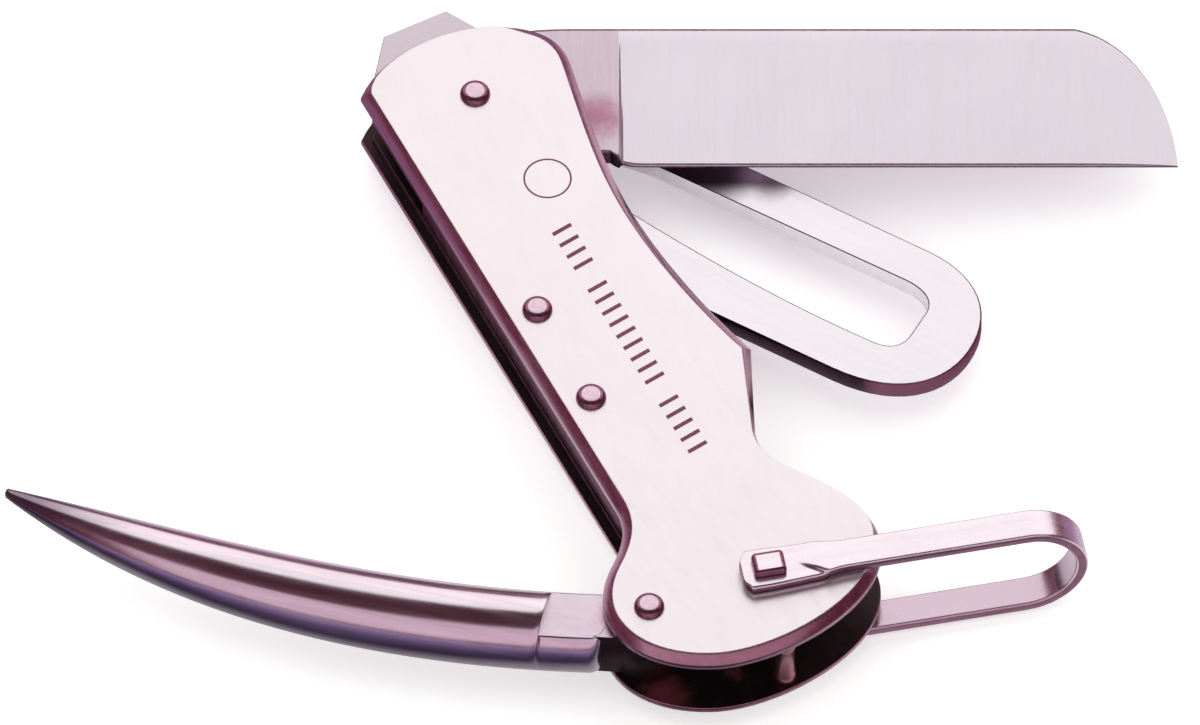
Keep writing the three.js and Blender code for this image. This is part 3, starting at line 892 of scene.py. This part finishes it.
def bail_piece():
    """The strip, as lines across it: out along the front arm, round the crown, back along the rear."""
    crown = BAIL_REACH - BAIL_OUTER
    path = [BOSS_BACK + 0.35 * i for i in range(12)]
    path += [0.4 + (14 - 0.4) * i / 70 for i in range(1, 71)]
    path += [14 + (crown - 14) * i / 16 for i in range(1, 17)]
    turns, rows, round_off = 40, 28, 0.3
    lines = [(r, 0.0) for r in path]
    lines += [(crown, 180.0 * i / turns) for i in range(1, turns)]
    lines += [(r, 180.0) for r in path[::-1]]
    part = Part()
    outer, inner = [], []
    for r, turn in lines:
        a = math.radians(90 - turn)
        width = bail_half_width(r)
        sheets = ([], [])
        for j in range(rows + 1):
            y = -width + 2 * width * j / rows
            edge = width - abs(y)
            drop = round_off - math.sqrt(max(0.0, round_off ** 2 - max(0.0, round_off - edge) ** 2))
            lift = joggle(r, y) if turn in (0.0, 180.0) else ARM_LIFT * abs(math.sin(a))
            radii = (BAIL_OUTER - drop * 0.8, BAIL_OUTER - BAIL_THICK + drop * 0.8)
            for sheet, radius in zip(sheets, radii):
                sheet.append((r + radius * math.cos(a), y, MIDDLE + (radius + lift) * math.sin(a)))
        outer.append(part.add(sheets[0]))
        inner.append(part.add(sheets[1]))
    join_sheets(part, outer, inner, rows, lambda i: 0, True)
    obj = part.build("bail_piece", "bail", [BAIL_FACE, BAIL_EDGE], BAIL_PIVOT, BAIL_ANGLE)
    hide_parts("bail")


scale_piece("front_scale", True)
scale_piece("rear_scale", False)
liner_piece("front_liner", front_liner_outline(), LINER_FACE)
liner_piece("centre_liner", liner_outline(), INNER_SHADE)
liner_piece("rear_liner", liner_outline(), INNER_SHADE)
spring_piece("blade_spring", "blade")
spring_piece("key_spring", "key")
domed_rivet("main_rivet_piece", "main_pivot_rivet", (0, 0), PIVOT_SHANK)
domed_rivet("spring_rivet_upper_piece", "spring_rivet_upper", SPRING_RIVETS[0], PIVOT_SHANK)
domed_rivet("spring_rivet_lower_piece", "spring_rivet_lower", SPRING_RIVETS[1], PIVOT_SHANK)
domed_rivet("spike_rivet_piece", "spike_pivot_rivet", SPIKE_PIVOT, SPIKE_SHANK)
bail_rivet("bail_rivet_front_piece", "bail_rivet_front", 1)
bail_rivet("bail_rivet_rear_piece", "bail_rivet_rear", -1)
washer("spike_washer_front_piece", "spike_washer_front", 10.72, 11.12)
washer("spike_washer_rear_piece", "spike_washer_rear", 2.08, 2.48)
foot_spacer()
etched_marks()
blade_piece()
key_piece()
spike_piece()
bail_piece()


# ---------------------------------------------------------------- studio
FLOOR_HALF = 6.0
# What glossy rays see of the floor: colours at places between BANDS_FROM and BANDS_TO (metres) along
# the direction BANDS_ALONG.
BANDS_ALONG = (0.669, 0.743, 0.0)
BANDS_FROM, BANDS_TO = -0.25, 0.05
FLOOR_BANDS = (
    (0.0, (0.36, 0.27, 0.46)),
    (0.5, (0.17, 0.115, 0.24)),
    (0.63, (0.035, 0.02, 0.05)),
    (0.715, (0.78, 0.74, 0.77)),
    (0.81, (0.70, 0.62, 0.68)),
    (0.91, (0.34, 0.17, 0.31)),
)


def floor_bands(nodes, links, coordinates):
    """Emission in the floor's bands."""
    along = nodes.new("ShaderNodeVectorMath")
    along.operation = "DOT_PRODUCT"
    along.inputs[1].default_value = BANDS_ALONG
    links.new(coordinates, along.inputs[0])
    spread = nodes.new("ShaderNodeMapRange")
    spread.inputs["From Min"].default_value = BANDS_FROM
    spread.inputs["From Max"].default_value = BANDS_TO
    links.new(along.outputs["Value"], spread.inputs["Value"])
    tint = nodes.new("ShaderNodeValToRGB")
    stops = tint.color_ramp.elements
    for stop, (place, colour) in zip(stops, (FLOOR_BANDS[0], FLOOR_BANDS[-1])):
        stop.position = place
        stop.color = (*colour, 1)
    for place, colour in FLOOR_BANDS[1:-1]:
        stops.new(place).color = (*colour, 1)
    links.new(spread.outputs["Result"], tint.inputs["Fac"])
    glow = nodes.new("ShaderNodeEmission")
    links.new(tint.outputs["Color"], glow.inputs["Color"])
    return glow.outputs["Emission"]


def studio_floor():
    """Pale floor with a little light of its own; the steel mirrors its bands instead of it."""
    mesh = bpy.data.meshes.new("floor")
    corners = ((-1, -1), (1, -1), (1, 1), (-1, 1))
    mesh.from_pydata([(x * FLOOR_HALF, y * FLOOR_HALF, 0) for x, y in corners], [], [(0, 1, 2, 3)])
    floor = bpy.data.objects.new("floor", mesh)
    bpy.context.scene.collection.objects.link(floor)
    material = bpy.data.materials.new("pale_floor")
    nodes, links, shader = node_group(material)
    coordinates = nodes.new("ShaderNodeTexCoord").outputs["Object"]
    grain = noise(nodes, links, coordinates, EVEN, 40.0)
    links.new(ramp(nodes, links, grain, 0.3, 0.7, (0.93, 0.925, 0.92), (0.96, 0.955, 0.95)),
              shader.inputs["Base Color"])
    shader.inputs["Roughness"].default_value = 0.9
    shader.inputs["Emission Color"].default_value = (1.0, 0.99, 0.985, 1)
    shader.inputs["Emission Strength"].default_value = 0.3
    blend = nodes.new("ShaderNodeMixShader")
    links.new(nodes.new("ShaderNodeLightPath").outputs["Is Glossy Ray"], blend.inputs["Fac"])
    links.new(shader.outputs["BSDF"], blend.inputs[1])
    links.new(floor_bands(nodes, links, coordinates), blend.inputs[2])
    links.new(blend.outputs["Shader"], nodes["Material Output"].inputs["Surface"])
    mesh.materials.append(material)


def way_to(azimuth, elevation):
    """Unit vector from the knife towards a place in the studio; azimuth 0 is on the +Y side."""
    a, e = math.radians(azimuth), math.radians(elevation)
    return Vector((math.sin(a) * math.cos(e), math.cos(a) * math.cos(e), math.sin(e)))


def stand(obj, target, way, distance):
    """Links a light or camera at a distance from its target, and points it there."""
    bpy.context.scene.collection.objects.link(obj)
    obj.location = target + way * distance
    obj.rotation_mode = "QUATERNION"
    obj.rotation_quaternion = (-way).to_track_quat("-Z", "Y")


def area_light(name, azimuth, elevation, distance, width, height, power, colour, glossy, diffuse):
    """Soft light; glossy and diffuse say whether reflections see it and whether it lights surfaces."""
    data = bpy.data.lights.new(name, "AREA")
    data.shape = "RECTANGLE"
    data.size = width
    data.size_y = height
    data.energy = power
    data.color = colour
    light = bpy.data.objects.new(name, data)
    stand(light, Vector(), way_to(azimuth, elevation), distance)
    light.visible_glossy = glossy
    light.visible_diffuse = diffuse


def studio_world():
    """Near-white surroundings for the camera and for diffuse light, a dark wine red in reflections."""
    world = bpy.data.worlds.new("studio_world")
    world.use_nodes = True
    nodes, links = world.node_tree.nodes, world.node_tree.links
    height = nodes.new("ShaderNodeSeparateXYZ")
    links.new(nodes.new("ShaderNodeTexCoord").outputs["Generated"], height.inputs["Vector"])
    dusk = ramp(nodes, links, height.outputs["Z"], 0.55, 0.92, (0.17, 0.045, 0.08), (0.06, 0.009, 0.022))
    glossy = nodes.new("ShaderNodeLightPath").outputs["Is Glossy Ray"]
    sky = colour_mix(nodes, links, glossy, (1.0, 0.995, 0.99, 1), dusk)
    links.new(sky, nodes["Background"].inputs["Color"])
    bpy.context.scene.world = world
    bpy.context.scene.view_settings.view_transform = "Standard"


studio_floor()
area_light("far_card", azimuth=27, elevation=45, distance=1.6, width=3.0, height=1.7, power=17.2,
           colour=(1.0, 0.995, 1.0), glossy=True, diffuse=False)
area_light("near_card", azimuth=207, elevation=31, distance=1.6, width=3.4, height=1.45, power=8.6,
           colour=(1.0, 0.86, 0.96), glossy=True, diffuse=False)
area_light("top_fill", azimuth=0, elevation=80, distance=1.5, width=1.6, height=1.6, power=4.0,
           colour=(1.0, 0.99, 1.0), glossy=False, diffuse=True)
studio_world()

# ---------------------------------------------------------------- camera
CAMERA_AZIMUTH, CAMERA_ELEVATION, CAMERA_DISTANCE = 207.0, 55.0, 4.279
CAMERA_AIM = Vector((-5.1, -47.4, 13.2))
LENS, SENSOR = 950.0, 36.0

camera_data = bpy.data.cameras.new("camera")
camera_data.sensor_width = SENSOR
camera_data.lens = LENS
camera_data.clip_start = 0.05
camera_data.clip_end = 20.0
camera = bpy.data.objects.new("camera", camera_data)
stand(camera, SHIFT + CAMERA_AIM * MM, way_to(CAMERA_AZIMUTH, CAMERA_ELEVATION), CAMERA_DISTANCE)
bpy.context.scene.camera = camera

bpy.context.view_layer.update()
